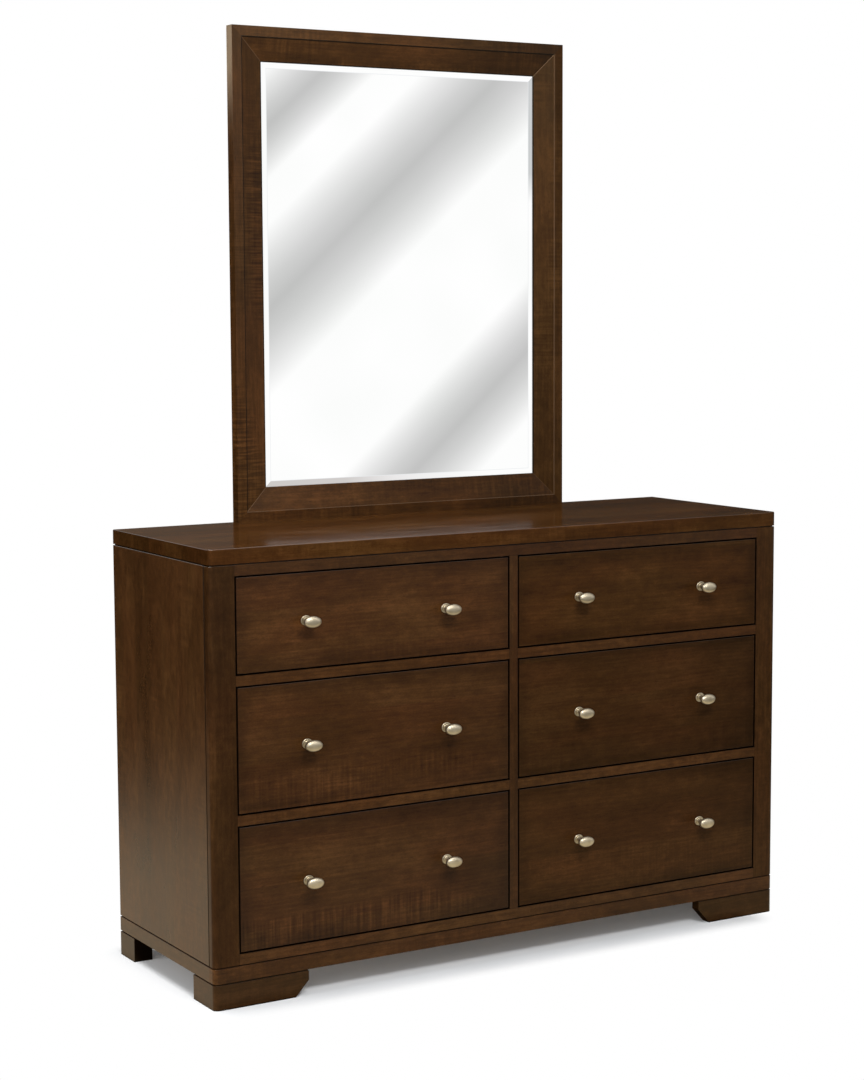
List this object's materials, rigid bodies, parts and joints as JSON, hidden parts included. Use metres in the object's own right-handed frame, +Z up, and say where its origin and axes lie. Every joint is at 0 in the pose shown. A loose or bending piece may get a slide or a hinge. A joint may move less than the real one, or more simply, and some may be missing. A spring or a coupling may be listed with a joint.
{
  "type": "double dresser with mirror",
  "caption": "Low wide chest with columns of sliding drawers under one top, on bracket feet, with a framed bevelled mirror standing on it.",
  "frame": {"origin": "on the floor, under the middle of the whole object's box, knobs and mirror supports included", "axes": "+X to the right as seen from the front, +Y to the back, +Z up; the drawers face -Y"},
  "size_m": [1.5, 0.5614, 2.1105],
  "materials": {
    "top_wood": "dark stained maple, satin lacquer",
    "side_wood": "dark stained maple, satin lacquer",
    "stile_wood": "dark stained maple, satin lacquer",
    "rail_wood": "dark stained maple, satin lacquer",
    "base_wood": "dark stained maple, satin lacquer",
    "foot_wood": "dark stained maple, satin lacquer",
    "front_wood": "dark stained maple, satin lacquer",
    "mirror_stile_wood": "dark stained maple, satin lacquer",
    "mirror_rail_wood": "dark stained maple, satin lacquer",
    "inner_wood": "bare maple, sealed",
    "drawer_wood": "clear lacquered maple",
    "drawer_ply": "maple veneered ply",
    "back_ply": "stained ply",
    "backing_board": "hardboard",
    "support_wood": "stained maple",
    "mirror_silver": "silvered float glass with a ground bevel",
    "knob_metal": "satin nickel plate",
    "slide_steel": "zinc plated sheet",
    "screw_steel": "zinc plated"
  },
  "bodies": {
    "case": {"top_panel": "top_wood", "side_panel_left": "side_wood", "side_panel_right": "side_wood", "back_panel": "back_ply", "bottom_panel": "inner_wood", "centre_partition": "inner_wood", "top_stretchers": "inner_wood", "stile_left": "stile_wood", "stile_right": "stile_wood", "stile_centre": "stile_wood", "rail_top": "rail_wood", "rail_bottom": "rail_wood", "rails_middle": "rail_wood", "base_moulding_front": "base_wood", "base_moulding_left": "base_wood", "base_moulding_right": "base_wood", "base_rail_back": "inner_wood", "foot_front_left": "foot_wood", "foot_front_right": "foot_wood", "feet_rear": "foot_wood", "slide_cleats": "inner_wood", "slide_channels": "slide_steel", "mirror_stile_left": "mirror_stile_wood", "mirror_stile_right": "mirror_stile_wood", "mirror_rail_top": "mirror_rail_wood", "mirror_rail_bottom": "mirror_rail_wood", "mirror_glass": "mirror_silver", "mirror_backing": "backing_board", "mirror_supports": "support_wood", "mirror_support_screws": "screw_steel"},
    "drawer_bottom_left": {"drawer_front_bottom_left": "front_wood", "drawer_box_bottom_left": "drawer_wood", "drawer_bottom_bottom_left": "drawer_ply", "drawer_runners_bottom_left": "slide_steel", "knobs_bottom_left": "knob_metal"},
    "drawer_bottom_right": {"drawer_front_bottom_right": "front_wood", "drawer_box_bottom_right": "drawer_wood", "drawer_bottom_bottom_right": "drawer_ply", "drawer_runners_bottom_right": "slide_steel", "knobs_bottom_right": "knob_metal"},
    "drawer_middle_left": {"drawer_front_middle_left": "front_wood", "drawer_box_middle_left": "drawer_wood", "drawer_bottom_middle_left": "drawer_ply", "drawer_runners_middle_left": "slide_steel", "knobs_middle_left": "knob_metal"},
    "drawer_middle_right": {"drawer_front_middle_right": "front_wood", "drawer_box_middle_right": "drawer_wood", "drawer_bottom_middle_right": "drawer_ply", "drawer_runners_middle_right": "slide_steel", "knobs_middle_right": "knob_metal"},
    "drawer_top_left": {"drawer_front_top_left": "front_wood", "drawer_box_top_left": "drawer_wood", "drawer_bottom_top_left": "drawer_ply", "drawer_runners_top_left": "slide_steel", "knobs_top_left": "knob_metal"},
    "drawer_top_right": {"drawer_front_top_right": "front_wood", "drawer_box_top_right": "drawer_wood", "drawer_bottom_top_right": "drawer_ply", "drawer_runners_top_right": "slide_steel", "knobs_top_right": "knob_metal"}
  },
  "joints": [
    {"name": "drawer_slide_bottom_left", "type": "slide", "parent": "case", "child": "drawer_bottom_left", "axis": [0, -1, 0], "range_m": [0, 0.31]},
    {"name": "drawer_slide_bottom_right", "type": "slide", "parent": "case", "child": "drawer_bottom_right", "axis": [0, -1, 0], "range_m": [0, 0.31]},
    {"name": "drawer_slide_middle_left", "type": "slide", "parent": "case", "child": "drawer_middle_left", "axis": [0, -1, 0], "range_m": [0, 0.31]},
    {"name": "drawer_slide_middle_right", "type": "slide", "parent": "case", "child": "drawer_middle_right", "axis": [0, -1, 0], "range_m": [0, 0.31]},
    {"name": "drawer_slide_top_left", "type": "slide", "parent": "case", "child": "drawer_top_left", "axis": [0, -1, 0], "range_m": [0, 0.31]},
    {"name": "drawer_slide_top_right", "type": "slide", "parent": "case", "child": "drawer_top_right", "axis": [0, -1, 0], "range_m": [0, 0.31]}
  ]
}
